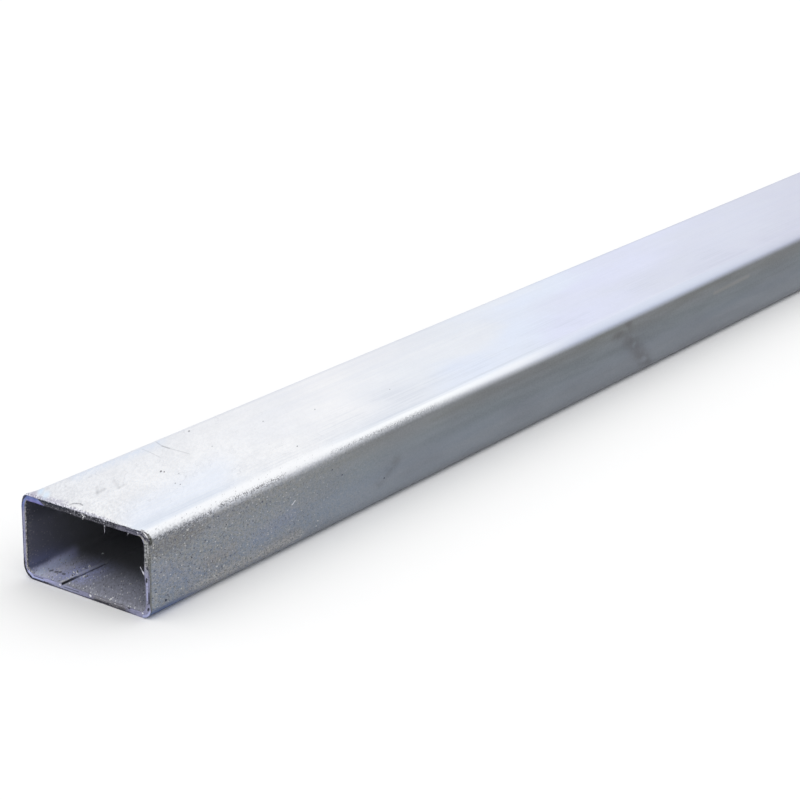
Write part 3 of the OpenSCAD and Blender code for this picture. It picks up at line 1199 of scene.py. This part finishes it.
def add_crumbs(sheet, end, draw):
    """Crumbs along the rim of one end."""
    for (x0, x1), (z0, z1), depth, count, largest in CRUMB_RUNS:
        for _ in range(count):
            share = draw.random()
            x, z = x0 + (x1 - x0) * share, z0 + (z1 - z0) * share
            if x0 == x1:
                x -= math.copysign(depth + draw.uniform(-0.1, 0.1), x0)
            else:
                z -= math.copysign(depth + draw.uniform(-0.1, 0.1), z0 - HEIGHT / 2)
            size = largest * draw.uniform(0.35, 1.0)
            y = end.y_at(x, z, 0.0, draw.uniform(-0.1, 0.35))
            add_crumb(sheet, Vector((x, y, z)), size, draw)


# Torn slivers at the mouth: root, middle and tip as (x, distance behind the mouth, z), then width
MOUTH_SLIVERS = (
    ((7.6, 2.0, 23.2), (7.6, 2.0, 21.8), (7.2, 2.1, 20.2), 0.50),
    ((16.2, 2.4, 23.0), (15.9, 2.4, 22.2), (15.2, 2.5, 21.4), 0.30),
    ((0.4, 2.0, 23.6), (0.0, 1.9, 23.1), (-0.7, 1.9, 22.7), 0.55),
    ((23.0, 1.0, 11.6), (22.2, 0.9, 12.8), (21.0, 0.9, 14.4), 0.80),
)

# Droplets of zinc on the bore's floor: (x, distance behind the mouth, radius)
FLOOR_DROPLETS = (
    (8.7, 1.2, 0.30),
    (6.0, 12.0, 0.26),
    (-22.4, 12.8, 0.32),
    (-15.5, 23.0, 0.30),
)

# Heaps of crumbs on the bore's floor: (x, distance behind the mouth, spread, count)
FLOOR_HEAPS = (
    (-11.4, 6.6, 0.5, 6),
    (-11.9, 9.6, 0.9, 14),
    (-11.2, 13.4, 0.9, 9),
    (-8.0, 8.6, 0.5, 7),
    (8.2, 2.0, 0.6, 5),
)


def add_heaps(sheet, draw):
    """Small heaps of crumbs on the bore's floor beside the seam."""
    for x, y, spread, count in FLOOR_HEAPS:
        for _ in range(count):
            size = draw.uniform(0.18, 0.46)
            centre = Vector((x + draw.uniform(-spread, spread), MOUTH_Y + y, WALL + size * 0.4))
            centre.y += draw.uniform(-spread, spread) * 1.5
            add_crumb(sheet, centre, size, draw)


def galvanised_tube():
    """The whole tube as one closed mesh, with its slivers, droplets and crumbs."""
    sheet = Sheet()
    coarse = stations()
    fine = refined(coarse)
    mouth = SawnEnd(MOUTH_Y, 1, 3.0)
    back = SawnEnd(BACK_Y, -1, 71.0)
    front_rows = end_rows(sheet, mouth, fine)
    back_rows = end_rows(sheet, back, fine)
    add_body(sheet, coarse, front_rows, back_rows)
    for root, middle, tip, width in MOUTH_SLIVERS:
        add_sliver(sheet, *(Vector((x, MOUTH_Y + y, z)) for x, y, z in (root, middle, tip)), width)
    for x, y, radius in FLOOR_DROPLETS:
        add_droplet(sheet, x, MOUTH_Y + y, WALL, radius)
    add_heaps(sheet, random.Random(13))
    add_crumbs(sheet, mouth, random.Random(11))
    add_crumbs(sheet, back, random.Random(12))
    mesh = sheet.mesh("galvanised_tube")
    for finish_of in (zinc_skin, bore_skin, saw_cut, torn_zinc):
        mesh.materials.append(finish_of())
    piece = bpy.data.objects.new("galvanised_tube", mesh)
    bpy.context.scene.collection.objects.link(piece)
    return piece


def studio_light():
    """A soft tent of light: a little dimmer and bluish low down, brightest overhead."""
    world = bpy.data.worlds.new("studio_light")
    bpy.context.scene.world = world
    world.use_nodes = True
    finish = Finish(world.node_tree)
    x, y, z = finish.axes(finish.node("ShaderNodeTexCoord", {}, {}).out("Generated"))
    dome = z.between(0.0, 0.55)
    back = (y * 0.55 + z * 0.95 - x * 0.1).between(0.5, 1.0)
    level = LIGHT_ROUND + dome * LIGHT_OVERHEAD + back * LIGHT_BEHIND
    finish.colour = finish.tinted(dome, rgb(0.91, 0.945, 1.07), rgb(1.0, 1.0, 1.0))
    sky = finish.node("ShaderNodeBackground", {}, {"Color": finish.colour, "Strength": level})
    finish.node("ShaderNodeOutputWorld", {}, {"Surface": sky.out("Background")})


def studio_floor():
    """A wide white floor at the tube's underside."""
    material, finish = new_material("studio_floor")
    finish.colour = FLOOR_COLOUR
    finish.surface({"Roughness": 0.9, "Specular IOR Level": 0.1})
    mesh = bpy.data.meshes.new("studio_floor")
    signs = ((-1, -1), (1, -1), (1, 1), (-1, 1))
    mesh.from_pydata([(x * FLOOR_REACH, y * FLOOR_REACH, 0) for x, y in signs], [], [(0, 1, 2, 3)])
    mesh.materials.append(material)
    floor = bpy.data.objects.new("studio_floor", mesh)
    bpy.context.scene.collection.objects.link(floor)


def photo_camera():
    """The camera that sees the tube as the photograph does."""
    data = bpy.data.cameras.new("photo_camera")
    data.sensor_width = SENSOR_WIDTH
    data.lens = SENSOR_WIDTH * FOCAL_PIXELS / FRAME_PIXELS
    data.clip_start = 0.01
    data.clip_end = 200.0
    camera = bpy.data.objects.new("photo_camera", data)
    bpy.context.scene.collection.objects.link(camera)
    aim = Euler((math.radians(90 - CAMERA_DIP), 0, math.radians(CAMERA_TURN))).to_matrix()
    roll = Matrix.Rotation(math.radians(-CAMERA_ROLL), 3, "Z")
    camera.matrix_world = Matrix.LocRotScale(CAMERA_PLACE * MM, aim @ roll, None)
    bpy.context.scene.camera = camera


tube = galvanised_tube()
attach(tube, "root")
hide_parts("tube")

studio_light()
studio_floor()
photo_camera()
bpy.context.scene.view_settings.view_transform = "Standard"
